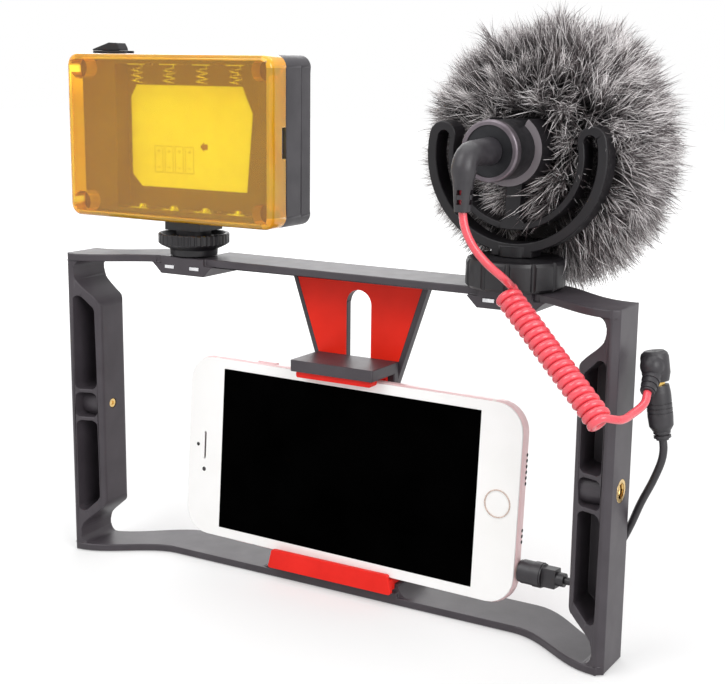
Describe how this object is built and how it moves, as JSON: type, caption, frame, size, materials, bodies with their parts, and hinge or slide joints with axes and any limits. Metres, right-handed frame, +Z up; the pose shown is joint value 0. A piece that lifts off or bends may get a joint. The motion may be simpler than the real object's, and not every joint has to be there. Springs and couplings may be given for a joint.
{
  "type": "smartphone video rig",
  "caption": "Two-handed moulded cage with a sliding phone clamp, a battery lamp with an amber filter, and a shock-mounted microphone with a furry windscreen and curly cord.",
  "frame": {"origin": "mouth of the tripod thread, in the middle of the lower bar's underside", "axes": "+X to the operator's right along the bars, +Y away from the operator, +Z up"},
  "size_m": [0.2691, 0.1179, 0.2277],
  "materials": {
    "abs": "fine moulded texture, charcoal",
    "red_pad": "satin red silicone",
    "brass": "turned",
    "steel": "bright",
    "black_metal": "black anodised",
    "rose_metal": "bead-blasted rose tint",
    "white_glass": "white painted behind clear glass",
    "screen": "black, off",
    "cell": "wrapped cell",
    "board": "solder-masked board",
    "pale_plastic": "moulded",
    "card": "bare white",
    "frosted": "frosted",
    "amber": "clear amber",
    "fur": "long grey pile",
    "black_plastic": "moulded black",
    "black_rubber": "satin black",
    "red_cord": "satin coral red"
  },
  "bodies": {
    "rig": {"rig_frame": "abs", "red_panel": "red_pad", "lower_pad": "red_pad", "grip_insert_left": "brass", "grip_insert_right": "brass", "tripod_insert": "brass", "shoe_spring_left": "steel", "shoe_spring_right": "steel", "phone_body": "rose_metal", "phone_glass": "white_glass", "phone_display": "screen", "phone_battery": "cell", "phone_board": "board", "phone_camera": "screen", "phone_jack": "pale_plastic", "mic_foot": "black_metal", "shock_mount": "black_plastic", "mic_barrel": "black_metal", "mic_rear_ring": "black_metal", "mic_capsule": "black_metal", "mic_plug": "black_rubber", "red_lead": "red_cord", "curly_cord": "red_cord", "red_tail": "red_cord", "adapter_plug": "black_rubber", "adapter_socket": "black_rubber", "adapter_cable": "black_rubber", "phone_plug": "black_rubber", "plug_pins": "brass"},
    "jaw": {"jaw": "abs", "jaw_pad": "red_pad", "clamp_screw": "steel", "clamp_washer": "steel"},
    "clamp_knob": {"clamp_knob": "black_plastic", "knob_nut": "brass"},
    "lamp_foot": {"lamp_foot": "black_metal"},
    "lock_wheel": {"lock_wheel": "black_plastic"},
    "lamp": {"lamp_stem": "black_plastic", "lamp_rear_half": "abs", "lamp_front_half": "abs", "led_board": "card", "diffuser": "frosted", "driver_board": "board", "battery_springs": "steel", "battery_contacts": "steel", "battery_label": "card", "switch_bezel": "black_plastic"},
    "lamp_switch": {"lamp_switch": "black_plastic"},
    "amber_filter": {"amber_filter": "amber"},
    "mic_knob": {"mic_knob": "black_plastic"},
    "windscreen": {"windscreen": "fur"},
    "home_button": {"home_button": "white_glass"},
    "volume_up": {"volume_up": "rose_metal"},
    "volume_down": {"volume_down": "rose_metal"},
    "power_button": {"power_button": "rose_metal"},
    "mute_switch": {"mute_switch": "rose_metal"}
  },
  "joints": [
    {"name": "jaw_slide", "type": "slide", "parent": "rig", "child": "jaw", "axis": [0, 0, 1], "range_m": [0, 0.032]},
    {"name": "clamp_knob_turn", "type": "hinge", "parent": "jaw", "child": "clamp_knob", "pos_m": [0, 0.0175, 0.07283], "axis": [0, 1, 0], "continuous": true},
    {"name": "lamp_shoe_slide", "type": "slide", "parent": "rig", "child": "lamp_foot", "axis": [0, 1, 0], "range_m": [0, 0.022]},
    {"name": "lock_wheel_turn", "type": "hinge", "parent": "lamp_foot", "child": "lock_wheel", "pos_m": [-0.0735, -0.005, 0.136], "axis": [0, 0, 1], "continuous": true},
    {"name": "lamp_pan", "type": "hinge", "parent": "lamp_foot", "child": "lamp", "pos_m": [-0.0735, -0.005, 0.142], "axis": [0, 0, 1], "range_deg": [-180, 180]},
    {"name": "lamp_switch_slide", "type": "slide", "parent": "lamp", "child": "lamp_switch", "axis": [1, 0, 0], "range_m": [0, 0.003]},
    {"name": "filter_pull", "type": "slide", "parent": "lamp", "child": "amber_filter", "axis": [0, -1, 0], "range_m": [0, 0.03]},
    {"name": "mic_knob_turn", "type": "hinge", "parent": "rig", "child": "mic_knob", "pos_m": [0.0735, -0.005, 0.137], "axis": [0, 0, 1], "continuous": true},
    {"name": "windscreen_pull", "type": "slide", "parent": "rig", "child": "windscreen", "axis": [0, 1, 0], "range_m": [0, 0.06]},
    {"name": "home_press", "type": "slide", "parent": "rig", "child": "home_button", "axis": [0.0348, 0.9967, -0.0732], "range_m": [0, 0.0003], "stiffness_N_per_m": 2000},
    {"name": "volume_up_press", "type": "slide", "parent": "rig", "child": "volume_up", "axis": [0.0026, 0.0732, 0.9973], "range_m": [0, 0.0003], "stiffness_N_per_m": 2000},
    {"name": "volume_down_press", "type": "slide", "parent": "rig", "child": "volume_down", "axis": [0.0026, 0.0732, 0.9973], "range_m": [0, 0.0003], "stiffness_N_per_m": 2000},
    {"name": "power_press", "type": "slide", "parent": "rig", "child": "power_button", "axis": [-0.0026, -0.0732, -0.9973], "range_m": [0, 0.0003], "stiffness_N_per_m": 2000},
    {"name": "mute_slide", "type": "slide", "parent": "rig", "child": "mute_switch", "axis": [0.0348, 0.9967, -0.0732], "range_m": [0, 0.0009]}
  ]
}
